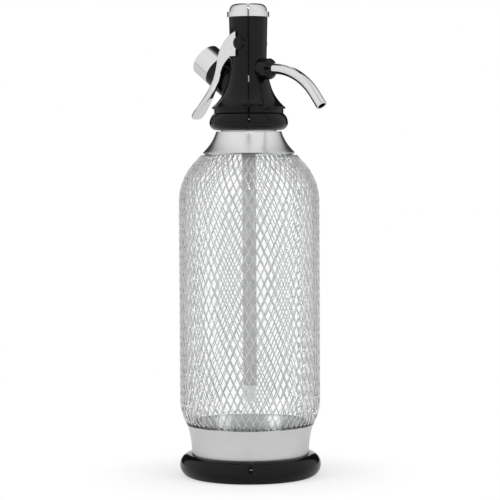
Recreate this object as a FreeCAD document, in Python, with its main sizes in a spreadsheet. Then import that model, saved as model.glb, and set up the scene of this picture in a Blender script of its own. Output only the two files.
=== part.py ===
import FreeCAD, Part
import Sketcher
import math
import os
import re

# A one-litre soda siphon: a glass bottle in a wire mesh jacket, with a screwed-on head,
# a squeeze lever, a bent spout and an inlet for gas chargers.
# Millimetres. +Z is up, the origin is the middle of the foot's underside, +X is the spout's side.

Vector = FreeCAD.Vector

doc = FreeCAD.newDocument("SodaSiphon")
sheet = doc.addObject("Spreadsheet::Sheet", "Sizes")

SIZES = {
    # bottle and its jacket
    "body_radius": 56.0,
    "mesh_depth": 2.1,
    "mesh_count": 57,
    "mesh_pitch": 12.8,
    "wire_width": 0.9,
    "wire_height": 0.75,
    "layer_gap": 0.05,
    "glass_wall": 4.0,
    "glass_base": 10.0,
    "glass_foot_gap": 1.0,
    "glass_corner": 6.0,
    "lower_arc": 40.0,
    "lower_height": 20.0,
    "barrel_height": 157.0,
    "shoulder_arc": 46.0,
    "shoulder_angle": 43.0,
    "slope_length": 14.5,
    "neck_radius": 18.0,
    "neck_bore": 12.5,
    "neck_curve": 17.0,
    "neck_rise": 11.0,
    # foot and steel band
    "foot_overhang": 0.3,
    "foot_height": 18.0,
    "foot_undercut": 6.3,
    "foot_ledge": 0.8,
    "foot_floor": 5.5,
    "band_height": 23.0,
    "band_low_inset": 9.2,
    "band_top_inset": 5.6,
    "band_arc": 62.0,
    "band_wall": 0.8,
    # shoulder collar and neck
    "collar_skirt": 4.3,
    "collar_arc": 35.0,
    "collar_top_angle": 17.0,
    "collar_wall": 1.8,
    "thread_radius": 22.0,
    "thread_height": 9.0,
    "nut_low_radius": 26.0,
    "nut_radius": 31.2,
    "nut_top_radius": 27.4,
    "nut_low_height": 6.0,
    "nut_high_height": 7.6,
    "nut_lift": 0.9,
    "gasket_height": 1.5,
    "flange_height": 1.9,
    "flange_radius": 21.5,
    "insert_radius": 17.1,
    "ring_radius": 27.6,
    "ring_height": 3.2,
    # head
    "skirt_radius": 29.1,
    "skirt_rim": 1.6,
    "flare_radius": 17.8,
    "flare_height": 16.7,
    "flare_arc": 34.0,
    "waist_radius": 14.5,
    "waist_height": 22.4,
    "waist_arc": 77.7,
    "column_height": 31.7,
    "column_radius": 15.3,
    # bores and valve, counted up from the underside of the head's flange
    "riser_radius": 5.5,
    "riser_bore": 3.6,
    "riser_socket": 18.0,
    "riser_length": 231.0,
    "tip_radius": 4.9,
    "tip_length": 12.5,
    "seat_height": 5.0,
    "seat_bore": 3.0,
    "chamber_radius": 6.5,
    "chamber_height": 24.0,
    "lever_bore": 9.5,
    "cap_bore": 11.5,
    "cap_bore_depth": 8.0,
    "seal_seat_radius": 13.6,
    "seal_height": 1.2,
    "washer_height": 2.0,
    "stem_radius": 2.5,
    "stem_length": 53.0,
    "disc_radius": 4.4,
    "disc_height": 2.4,
    "stem_collar_radius": 7.5,
    "stem_collar_height": 1.8,
    "spring_radius": 5.2,
    "spring_wire": 0.6,
    "spring_turns": 5,
    # top cap
    "cap_flange_radius": 16.7,
    "cap_flange_height": 4.1,
    "cap_radius": 14.9,
    "cap_height": 6.6,
    "cap_round": 5.4,
    "cap_recess_radius": 6.8,
    "cap_recess": 4.5,
    "stem_guide": 4.5,
    # spout
    "spout_rise": 12.8,
    "spout_radius": 4.3,
    "spout_bore": 3.3,
    "spout_start": 12.0,
    "spout_run": 12.9,
    "spout_bend": 52.0,
    "spout_angle": 53.0,
    "spout_end": 11.5,
    "spout_nut_radius": 8.25,
    "spout_nut_length": 9.4,
    "spout_nut_nose": 3.5,
    "spout_nut_mouth": 5.3,
    "spout_spot": 13.0,
    "spout_seal_radius": 6.3,
    "spout_seal_height": 1.5,
    # lever, its pivot and its slots
    "pivot_out": 2.0,
    "pivot_rise": 33.4,
    "screw_radius": 2.2,
    "screw_head_radius": 5.1,
    "screw_head_height": 2.0,
    "ear_radius": 4.6,
    "ear_thickness": 2.0,
    "ear_seat": 11.6,
    "ear_edge": 3.9,
    "ear_below": 10.3,
    "ear_above": 9.5,
    "ear_arc": 27.0,
    "web_low": 9.0,
    "web_high": 6.0,
    "slot_front": 2.4,
    "slot_below": 12.2,
    "slot_above": 12.3,
    "web_back": 18.5,
    "web_wall": 2.2,
    "tongue_half": 5.2,
    "tongue_reach": 5.0,
    "tongue_height": 3.0,
    "arm_thickness": 2.6,
    "arm_reach": 58.9,
    "arm_drop": 58.5,
    "tip_width": 12.0,
    # charger inlet
    "inlet_angle": 35.5,
    "inlet_rise": 7.4,
    "inlet_radius": 13.5,
    "inlet_length": 37.6,
    "spigot_radius": 11.0,
    "spigot_length": 14.4,
    "socket_radius": 9.0,
    "socket_depth": 22.0,
    "gas_bore": 1.2,
    "inlet_cap_length": 20.2,
    "inlet_cap_dome": 4.0,
    "liner_height": 1.6,
    "pin_base_radius": 4.0,
    "pin_base_height": 2.0,
    "pin_length": 8.0,
    # fits
    "running_gap": 0.1,
    "free_gap": 0.2,
}

WORD = re.compile(r"[a-z_]+[a-z]")
known = []


def enter(alias, entry):
    """Give the sheet one more row: a number, or a formula of the rows before it."""
    known.append(alias)
    row = len(known)
    sheet.set(f"A{row}", alias.replace("_", " "))
    sheet.set(f"B{row}", str(entry))
    sheet.setAlias(f"B{row}", alias)


for name, number in SIZES.items():
    enter(name, number)
doc.recompute()


def bound(text):
    """Turn plain size names in a formula into references to the sheet."""
    return WORD.sub(lambda found: f"Sizes.{found[0]}" if found[0] in known else found[0], text)


def value(text):
    """The number that a formula of sizes gives now."""
    result = sheet.evalExpression(bound(text))
    return float(getattr(result, "Value", result))


def origin_feature(body, role):
    return next(item for item in body.Origin.OriginFeatures if item.Role == role)


def arc_between(start, end, radius, side):
    """A circular arc from start to end; side 1 has its centre left of the chord, -1 right of it."""
    chord = end - start
    half = chord.Length / 2
    reach = math.sqrt(max(radius * radius - half * half, 0))
    left = Vector(-chord.y, chord.x, 0).normalize()
    centre = (start + end) / 2 + left * reach * side
    outward = ((start + end) / 2 - centre).normalize() if reach > 1e-9 else left * -side
    middle = centre + outward * radius
    return Part.Arc(start, middle, end)


def draw_outline(sketch, points, arcs):
    """Close an outline through points, each held by two sizes; arcs maps an edge to radius and side."""
    corners = [Vector(value(x), value(y), 0) for x, y in points]
    ends = []
    for index, start in enumerate(corners):
        end = corners[(index + 1) % len(corners)]
        if index in arcs:
            radius, side = arcs[index]
            sketch.addGeometry(arc_between(start, end, value(radius), side), False)
            ends.append((1, 2) if side > 0 else (2, 1))
        else:
            sketch.addGeometry(Part.LineSegment(start, end), False)
            ends.append((1, 2))
    for index, (across, up) in enumerate(points):
        following = (index + 1) % len(points)
        sketch.addConstraint(
            Sketcher.Constraint("Coincident", index, ends[index][1], following, ends[following][0])
        )
        for kind, formula in (("DistanceX", across), ("DistanceY", up)):
            number = sketch.addConstraint(
                Sketcher.Constraint(kind, index, ends[index][0], value(formula))
            )
            if formula != "0":
                sketch.setExpression(f"Constraints[{number}]", bound(formula))
    for index, (radius, side) in arcs.items():
        number = sketch.addConstraint(Sketcher.Constraint("Radius", index, value(radius)))
        sketch.setExpression(f"Constraints[{number}]", bound(radius))


def turned(name, points, arcs=None):
    """A body turned about Z from an outline of (radius, height) formulas."""
    body = doc.addObject("PartDesign::Body", name)
    sketch = body.newObject("Sketcher::SketchObject", f"{name}_outline")
    sketch.AttachmentSupport = [(origin_feature(body, "XZ_Plane"), "")]
    sketch.MapMode = "FlatFace"
    draw_outline(sketch, points, arcs or {})
    turn = body.newObject("PartDesign::Revolution", f"{name}_turn")
    turn.Profile = sketch
    turn.ReferenceAxis = (sketch, ["V_Axis"])
    turn.Angle = 360
    body.Tip = turn
    return body


def place(item, x="0", y="0", z="0", axis=None, angle="0"):
    """Put a piece at formulas x, y, z, turned by angle about axis."""
    turn = FreeCAD.Rotation(Vector(*(axis or (0, 0, 1))), value(angle))
    item.Placement = FreeCAD.Placement(Vector(value(x), value(y), value(z)), turn)
    for name, formula in (("x", x), ("y", y), ("z", z)):
        if formula != "0":
            item.setExpression(f"Placement.Base.{name}", bound(formula))
    if angle != "0":
        item.setExpression("Placement.Rotation.Angle", bound(angle))
    return item


def cylinder(name, radius, height, **where):
    item = doc.addObject("Part::Cylinder", name)
    item.setExpression("Radius", bound(radius))
    item.setExpression("Height", bound(height))
    return place(item, **where)


def box(name, length, width, height, x, y, z):
    item = doc.addObject("Part::Box", name)
    item.setExpression("Length", bound(length))
    item.setExpression("Width", bound(width))
    item.setExpression("Height", bound(height))
    return place(item, x, y, z)


def fused(name, pieces):
    item = doc.addObject("Part::MultiFuse", name)
    item.Shapes = pieces
    return item


def cut(name, base, tools):
    """Base less every tool; each tool has to take something away."""
    item = doc.addObject("Part::Cut", name)
    item.Base = base
    item.Tool = fused(f"{name}_tools", tools) if len(tools) > 1 else tools[0]
    doc.recompute()
    for tool in tools:
        if base.Shape.common(tool.Shape).Volume < 0.01:
            raise ValueError(f"{tool.Name} cuts nothing from {base.Name}")
    return item


kept = []


def keep(item, label):
    item.Label = label
    kept.append(item)
    return item


def rounding(across, up):
    """Radius of an arc that covers across by up and ends square to across."""
    return f"((({across})^2 + ({up})^2) / (2 * ({across})))"


# Heights up the bottle
BAND_TOP = "(foot_height + band_height)"
BARREL_START = "(foot_height + band_height + lower_height)"
BARREL_END = "(foot_height + band_height + lower_height + barrel_height)"


def bottle_line(offset):
    """The bottle's outer line from the band up to the end of the slope, moved in by offset."""
    arc = f"(shoulder_arc - {offset})"
    bend_end = (
        f"(body_radius - shoulder_arc + {arc} * cos(shoulder_angle))",
        f"({BARREL_END} + {arc} * sin(shoulder_angle))",
    )
    points = [
        (
            f"(body_radius - lower_arc + sqrt((lower_arc - {offset})^2 - lower_height^2))",
            BAND_TOP,
        ),
        (f"(body_radius - {offset})", BARREL_START),
        (f"(body_radius - {offset})", BARREL_END),
        bend_end,
        (
            f"({bend_end[0]} - slope_length * sin(shoulder_angle))",
            f"({bend_end[1]} + slope_length * cos(shoulder_angle))",
        ),
    ]
    return points, [f"(lower_arc - {offset})", None, arc, None]


SLOPE_END = bottle_line("0")[0][4]
COLLAR_TOP = f"({SLOPE_END[1]} + collar_arc * (sin(shoulder_angle) - sin(collar_top_angle)))"
NECK_START = f"({SLOPE_END[1]} + neck_rise)"
NECK_TOP = f"({COLLAR_TOP} + nut_lift + thread_height)"
NUT_LOW = f"({COLLAR_TOP} + nut_lift)"
NUT_TOP = f"({NUT_LOW} + nut_low_height + nut_high_height)"
FLANGE_LOW = f"({NECK_TOP} + gasket_height)"
FLANGE_TOP = f"({FLANGE_LOW} + flange_height)"
SKIRT_LOW = f"({NUT_TOP} + ring_height)"
FLARE_LOW = f"({SKIRT_LOW} + skirt_rim)"
FLARE_MIDDLE = f"({FLARE_LOW} + flare_height)"
WAIST = f"({FLARE_MIDDLE} + waist_height)"
COLUMN_TOP = f"({WAIST} + column_height)"
SEAT_LOW = f"({FLANGE_LOW} + riser_socket)"
SEAT_TOP = f"({SEAT_LOW} + seat_height)"
WASHER_LOW = f"({SEAT_LOW} + chamber_height)"


# Sizes that follow from the others
FOLLOWING = {
    "band_low_radius": "body_radius - band_low_inset",
    "band_top_radius": "body_radius - band_top_inset",
    "glass_foot_radius": "band_low_radius - band_wall - glass_foot_gap",
    "foot_radius": "body_radius + foot_overhang",
    "foot_flat_radius": "foot_radius - foot_undercut",
    "foot_top_radius": "band_low_radius + foot_ledge",
    "inlet_height": f"{FLARE_LOW} + inlet_rise",
    "spout_height": f"{FLARE_MIDDLE} + spout_rise",
    "pivot_height": f"{FLARE_MIDDLE} + pivot_rise",
}

for name, formula in FOLLOWING.items():
    enter(name, f"={formula}")
doc.recompute()


def foot_and_band():
    corner_low = rounding("foot_radius - foot_flat_radius", "foot_height / 2")
    corner_high = rounding("foot_radius - foot_top_radius", "foot_height / 2")
    foot = turned(
        "FootRing",
        [
            ("0", "0"),
            ("foot_flat_radius", "0"),
            ("foot_radius", "foot_height / 2"),
            ("foot_top_radius", "foot_height"),
            ("glass_foot_radius + free_gap", "foot_height"),
            ("glass_foot_radius + free_gap", "foot_floor"),
            ("0", "foot_floor"),
        ],
        {1: (corner_low, 1), 2: (corner_high, 1)},
    )
    keep(foot, "foot_ring")
    band = turned(
        "Band",
        [
            ("band_low_radius", "foot_height"),
            ("band_top_radius", BAND_TOP),
            ("band_top_radius - band_wall", BAND_TOP),
            ("band_low_radius - band_wall", "foot_height"),
        ],
        {0: ("band_arc", -1), 2: ("band_arc + band_wall", 1)},
    )
    keep(band, "base_band")


def bottle():
    outer, outer_arcs = bottle_line("mesh_depth")
    inner, inner_arcs = bottle_line("(mesh_depth + glass_wall)")
    points = [
        ("0", "foot_floor"),
        ("glass_foot_radius - glass_corner", "foot_floor"),
        ("glass_foot_radius", "foot_floor + glass_corner"),
        ("glass_foot_radius", "foot_height + glass_corner"),
        *outer,
        ("neck_radius", NECK_START),
        ("neck_radius", NECK_TOP),
        ("neck_bore", NECK_TOP),
        ("neck_bore", NECK_START),
        *reversed(inner),
        ("glass_foot_radius - glass_wall", "foot_height + glass_corner"),
        ("glass_foot_radius - glass_wall", "foot_floor + glass_base + glass_corner"),
        ("glass_foot_radius - glass_wall - glass_corner", "foot_floor + glass_base"),
        ("0", "foot_floor + glass_base"),
    ]
    arcs = {
        1: ("glass_corner", 1),
        4: (outer_arcs[0], 1),
        6: (outer_arcs[2], 1),
        8: ("neck_curve", -1),
        12: ("neck_curve + glass_wall", 1),
        14: (inner_arcs[2], -1),
        16: (inner_arcs[0], -1),
        19: ("glass_corner", -1),
    }
    keep(turned("Glass", points, arcs), "glass_bottle")


def shoulder_collar():
    start = (
        f"({SLOPE_END[0]} + collar_skirt * sin(shoulder_angle))",
        f"({SLOPE_END[1]} - collar_skirt * cos(shoulder_angle))",
    )
    top_radius = f"({SLOPE_END[0]} - collar_arc * (cos(collar_top_angle) - cos(shoulder_angle)))"
    step_in = "collar_wall * cos(shoulder_angle)"
    step_down = "collar_wall * sin(shoulder_angle)"
    points = [
        start,
        SLOPE_END,
        (top_radius, COLLAR_TOP),
        ("neck_radius + free_gap", COLLAR_TOP),
        ("neck_radius + free_gap", f"{COLLAR_TOP} - collar_wall"),
        (f"{top_radius} - collar_wall", f"{COLLAR_TOP} - collar_wall"),
        (f"{SLOPE_END[0]} - {step_in}", f"{SLOPE_END[1]} - {step_down}"),
        (f"{start[0]} - {step_in}", f"{start[1]} - {step_down}"),
    ]
    arcs = {1: ("collar_arc", -1), 5: ("collar_arc + collar_wall", 1)}
    keep(turned("Collar", points, arcs), "shoulder_collar")
    thread = turned(
        "NeckThread",
        [
            ("neck_radius + free_gap", COLLAR_TOP),
            ("thread_radius", COLLAR_TOP),
            ("thread_radius", f"{COLLAR_TOP} + thread_height"),
            ("neck_radius + free_gap", f"{COLLAR_TOP} + thread_height"),
        ],
    )
    keep(thread, "neck_thread")


def form_radius(height):
    """Radius of the bottle's outer form at a height."""
    start, end = value(BARREL_START), value(BARREL_END)
    body = value("body_radius")
    if height < start:
        arc = value("lower_arc")
        return body - arc + math.sqrt(arc ** 2 - (start - height) ** 2)
    if height < end:
        return body
    arc = value("shoulder_arc")
    angle = math.radians(value("shoulder_angle"))
    over = height - end
    if over < arc * math.sin(angle):
        return body - arc + math.sqrt(arc ** 2 - over ** 2)
    bend_radius = body - arc * (1 - math.cos(angle))
    return bend_radius - (over - arc * math.sin(angle)) * math.tan(angle)


def wire_mesh():
    """Two layers of wires that wind opposite ways, each a three-sided strand from band to collar."""
    low = value(f"{BAND_TOP} + free_gap * 2")
    edge = "collar_skirt * cos(shoulder_angle) + collar_wall * sin(shoulder_angle)"
    high = value(f"{SLOPE_END[1]} - ({edge}) - free_gap")
    start, end = value(BARREL_START), value(BARREL_END)
    barrel_steps = 7
    shoulder_steps = 5
    levels = [low, (low + start) / 2]
    levels += [start + (end - start) * step / barrel_steps for step in range(barrel_steps + 1)]
    levels += [end + (high - end) * (step + 1) / shoulder_steps for step in range(shoulder_steps)]
    count = int(value("mesh_count"))
    turn_per_mm = 360.0 / count / value("mesh_pitch")
    wide, tall = value("wire_width"), value("wire_height")
    wires = []
    for layer, hand in enumerate((1, -1)):
        depth = tall + layer * (tall + value("layer_gap"))
        sections = []
        for height in levels:
            turn = FreeCAD.Rotation(Vector(0, 0, 1), hand * turn_per_mm * (height - low))
            radius = form_radius(height) - depth
            corners = [
                Vector(radius, -wide / 2, height),
                Vector(radius, wide / 2, height),
                Vector(radius + tall, 0, height),
            ]
            corners = [turn.multVec(corner) for corner in corners]
            sections.append(Part.makePolygon(corners + corners[:1]))
        strand = Part.makeLoft(sections, True, True)
        for copy in range(count):
            wire = strand.copy()
            wire.rotate(Vector(0, 0, 0), Vector(0, 0, 1), copy * 360.0 / count)
            wires.append(wire)
    mesh = doc.addObject("Part::Feature", "Mesh")
    mesh.Shape = Part.makeCompound(wires)
    keep(mesh, "wire_mesh")


foot_and_band()
bottle()
shoulder_collar()
wire_mesh()


def neck_parts():
    low_round = rounding("nut_radius - nut_low_radius", "nut_low_height")
    high_round = rounding("nut_radius - nut_top_radius", "nut_high_height")
    lip_low = f"{FLANGE_TOP} + running_gap"
    nut = turned(
        "NeckNut",
        [
            ("thread_radius + running_gap", NUT_LOW),
            ("nut_low_radius", NUT_LOW),
            ("nut_radius", f"{NUT_LOW} + nut_low_height"),
            ("nut_top_radius", NUT_TOP),
            ("insert_radius + free_gap", NUT_TOP),
            ("insert_radius + free_gap", lip_low),
            ("thread_radius + running_gap", lip_low),
        ],
        {1: (low_round, 1), 2: (high_round, 1)},
    )
    keep(nut, "neck_nut")
    ring = turned(
        "TrimRing",
        [
            ("insert_radius + running_gap", NUT_TOP),
            ("ring_radius", NUT_TOP),
            ("ring_radius", SKIRT_LOW),
            ("insert_radius + running_gap", SKIRT_LOW),
        ],
    )
    keep(ring, "trim_ring")
    gasket = turned(
        "HeadGasket",
        [
            ("neck_bore", NECK_TOP),
            ("neck_radius", NECK_TOP),
            ("neck_radius", FLANGE_LOW),
            ("neck_bore", FLANGE_LOW),
        ],
    )
    keep(gasket, "head_gasket")


def along_inlet(item):
    """Lean a piece made along Z so that it lies along the charger inlet."""
    return place(item, z="inlet_height", axis=(0, -1, 0), angle="90 - inlet_angle")


def head():
    blank = turned(
        "HeadTurning",
        [
            ("0", FLANGE_LOW),
            ("flange_radius", FLANGE_LOW),
            ("flange_radius", FLANGE_TOP),
            ("insert_radius", FLANGE_TOP),
            ("insert_radius", SKIRT_LOW),
            ("skirt_radius", SKIRT_LOW),
            ("skirt_radius", FLARE_LOW),
            ("flare_radius", FLARE_MIDDLE),
            ("waist_radius", WAIST),
            ("column_radius", COLUMN_TOP),
            ("0", COLUMN_TOP),
        ],
        {6: ("flare_arc", -1), 7: ("waist_arc", -1)},
    )
    inlet = turned(
        "InletBoss",
        [
            ("0", "0"),
            ("inlet_radius", "0"),
            ("inlet_radius", "inlet_length"),
            ("spigot_radius", "inlet_length"),
            ("spigot_radius", "inlet_length + spigot_length"),
            ("0", "inlet_length + spigot_length"),
        ],
    )
    along_inlet(inlet)
    keel = turned(
        "InletRoom",
        [
            ("0", f"{SKIRT_LOW} - inlet_radius * 2"),
            ("skirt_radius * 2", f"{SKIRT_LOW} - inlet_radius * 2"),
            ("skirt_radius * 2", FLARE_LOW),
            ("0", FLARE_LOW),
        ],
    )
    boss = cut("InletAboveSkirt", inlet, [keel])
    solid = fused("HeadSolid", [blank, boss])
    slot_length = "slot_front + column_radius * 2"
    slot_height = "slot_below + slot_above"
    slot_low = "pivot_height - slot_below"
    near = "-ear_seat - column_radius"
    screw_turn = {"axis": (1, 0, 0), "angle": "90"}
    tools = [
        cylinder("RiserBore", "riser_radius", f"{SEAT_LOW} - {FLANGE_LOW}", z=FLANGE_LOW),
        cylinder("Chamber", "chamber_radius", f"{WASHER_LOW} - {SEAT_LOW}", z=SEAT_LOW),
        cylinder("LeverBore", "lever_bore", f"{COLUMN_TOP} - {WASHER_LOW}", z=WASHER_LOW),
        cylinder("CapBore", "cap_bore", "cap_bore_depth", z=f"{COLUMN_TOP} - cap_bore_depth"),
        cylinder("SealSeat", "seal_seat_radius", "seal_height", z=f"{COLUMN_TOP} - seal_height"),
        box("SlotNear", slot_length, "column_radius", slot_height,
            "-column_radius * 2", near, slot_low),
        box("SlotFar", slot_length, "column_radius", slot_height,
            "-column_radius * 2", "ear_seat", slot_low),
        box("Window", "column_radius * 2", "(tongue_half + free_gap * 3) * 2", slot_height,
            "-column_radius * 2", "-tongue_half - free_gap * 3", slot_low),
        cylinder("ScrewHole", "screw_radius", "column_radius * 4", x="pivot_out",
                 y="column_radius * 2", z="pivot_height", **screw_turn),
        cylinder("EarSeatNear", "ear_radius + free_gap * 2", "column_radius", x="pivot_out",
                 y="-ear_seat", z="pivot_height", **screw_turn),
        cylinder("EarSeatFar", "ear_radius + free_gap * 2", "column_radius", x="pivot_out",
                 y="ear_seat + column_radius", z="pivot_height", **screw_turn),
        cylinder("HeadSeatNear", "screw_head_radius + free_gap", "column_radius", x="pivot_out",
                 y="-ear_seat - ear_thickness - free_gap * 2", z="pivot_height", **screw_turn),
        cylinder("HeadSeatFar", "screw_head_radius + free_gap", "column_radius", x="pivot_out",
                 y="ear_seat + ear_thickness + free_gap * 2 + column_radius", z="pivot_height",
                 **screw_turn),
        cylinder("SpoutHole", "spout_radius + running_gap", "column_radius * 2", x="spout_start",
                 z="spout_height", axis=(0, 1, 0), angle="90"),
        cylinder("SpoutSpot", "spout_nut_radius + free_gap", "column_radius * 2", x="spout_spot",
                 z="spout_height", axis=(0, 1, 0), angle="90"),
        cylinder("SpoutWay", "spout_bore", "column_radius", z="spout_height",
                 axis=(0, 1, 0), angle="90"),
        cylinder("GasDrop", "gas_bore", "inlet_height + neck_bore * sin(inlet_angle)",
                 x="-(neck_bore + gas_bore) * cos(inlet_angle)"),
    ]
    socket = turned(
        "InletSocket",
        [
            ("0", "inlet_length + spigot_length - socket_depth"),
            ("socket_radius", "inlet_length + spigot_length - socket_depth"),
            ("socket_radius", "inlet_length + spigot_length + free_gap"),
            ("0", "inlet_length + spigot_length + free_gap"),
        ],
    )
    along_inlet(socket)
    gas_way = turned(
        "GasWay",
        [
            ("0", "neck_bore + gas_bore"),
            ("gas_bore", "neck_bore + gas_bore"),
            ("gas_bore", "inlet_length"),
            ("0", "inlet_length"),
        ],
    )
    along_inlet(gas_way)
    keep(cut("Head", solid, tools + [socket, gas_way]), "siphon_head")


def riser_and_valve():
    riser_top = SEAT_LOW
    tube = turned(
        "Riser",
        [
            ("riser_bore", f"{riser_top} - riser_length"),
            ("riser_radius", f"{riser_top} - riser_length"),
            ("riser_radius", riser_top),
            ("riser_bore", riser_top),
        ],
    )
    keep(tube, "riser_tube")
    tip = turned(
        "RiserTip",
        [
            ("seat_bore", f"{riser_top} - riser_length - tip_length"),
            ("tip_radius", f"{riser_top} - riser_length - tip_length"),
            ("tip_radius", f"{riser_top} - riser_length"),
            ("riser_bore", f"{riser_top} - riser_length"),
            ("riser_bore", f"{riser_top} - riser_length + tip_length / 2"),
            ("seat_bore", f"{riser_top} - riser_length + tip_length / 2"),
        ],
    )
    keep(tip, "riser_tip")
    seat = turned(
        "ValveSeat",
        [
            ("seat_bore", SEAT_LOW),
            ("chamber_radius", SEAT_LOW),
            ("chamber_radius", f"{SEAT_TOP} - seat_height / 3"),
            ("disc_radius", f"{SEAT_TOP} - seat_height / 3"),
            ("seat_bore + free_gap * 3", SEAT_TOP),
            ("seat_bore", SEAT_TOP),
        ],
    )
    keep(seat, "valve_seat")
    washer = turned(
        "Washer",
        [
            ("stem_radius + running_gap", WASHER_LOW),
            ("lever_bore", WASHER_LOW),
            ("lever_bore", f"{WASHER_LOW} + washer_height"),
            ("stem_radius + running_gap", f"{WASHER_LOW} + washer_height"),
        ],
    )
    keep(washer, "stem_washer")
    disc = turned(
        "Disc",
        [
            ("0", SEAT_TOP),
            ("disc_radius", SEAT_TOP),
            ("disc_radius", f"{SEAT_TOP} + disc_height"),
            ("0", f"{SEAT_TOP} + disc_height"),
        ],
    )
    keep(disc, "valve_disc")
    stem_low = f"{SEAT_TOP} + disc_height"
    stem_top = f"{stem_low} + stem_length"
    collar_low = "pivot_height + tongue_height / 2 + free_gap"
    collar_top = f"{collar_low} + stem_collar_height"
    stem = turned(
        "Stem",
        [
            ("0", stem_low),
            ("disc_radius", stem_low),
            ("disc_radius", f"{stem_low} + stem_collar_height / 2"),
            ("stem_radius", f"{stem_low} + stem_collar_height"),
            ("stem_radius", collar_low),
            ("stem_collar_radius", collar_low),
            ("stem_collar_radius", collar_top),
            ("stem_radius", collar_top),
            ("stem_radius", f"{stem_top} - stem_radius / 2"),
            ("stem_radius / 2", stem_top),
            ("0", stem_top),
        ],
    )
    keep(stem, "valve_stem")
    spring_low = value(f"{collar_top} + spring_wire")
    spring_high = value(f"{COLUMN_TOP} - cap_bore_depth + cap_recess - spring_wire - free_gap / 2")
    path = Part.makeHelix(
        (spring_high - spring_low) / value("spring_turns"),
        spring_high - spring_low,
        value("spring_radius"),
    )
    ring = Part.Wire(Part.Circle(
        Vector(value("spring_radius"), 0, 0), Vector(0, 1, 0), value("spring_wire")).toShape())
    coil = Part.Wire(path.Edges).makePipeShell([ring], True, True)
    spring = doc.addObject("Part::Feature", "Spring")
    spring.Shape = coil
    place(spring, z=f"{collar_top} + spring_wire")
    keep(spring, "valve_spring")


def top_cap():
    seat = COLUMN_TOP
    crown = f"{seat} + cap_flange_height + cap_height"
    plug = f"{seat} - cap_bore_depth"
    cap = turned(
        "TopCap",
        [
            ("0", crown),
            ("0", f"{plug} + cap_recess + stem_guide * 2"),
            ("stem_radius + free_gap", f"{plug} + cap_recess + stem_guide * 2"),
            ("stem_radius + free_gap", f"{plug} + cap_recess"),
            ("cap_recess_radius", f"{plug} + cap_recess"),
            ("cap_recess_radius", plug),
            ("cap_bore - running_gap", plug),
            ("cap_bore - running_gap", seat),
            ("cap_flange_radius", seat),
            ("cap_flange_radius", f"{seat} + cap_flange_height"),
            ("cap_radius", f"{seat} + cap_flange_height"),
            ("cap_radius", f"{crown} - cap_round"),
            ("cap_radius - cap_round", crown),
        ],
        {11: ("cap_round", 1)},
    )
    keep(cap, "top_cap")
    seal = turned(
        "CapSeal",
        [
            ("cap_bore", f"{seat} - seal_height"),
            ("seal_seat_radius - running_gap", f"{seat} - seal_height"),
            ("seal_seat_radius - running_gap", seat),
            ("cap_bore", seat),
        ],
    )
    keep(seal, "top_cap_seal")


def along_spout(item):
    """Lay a piece made along Z out from the head along the spout's first stretch."""
    return place(item, z="spout_height", axis=(0, 1, 0), angle="90")


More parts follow.
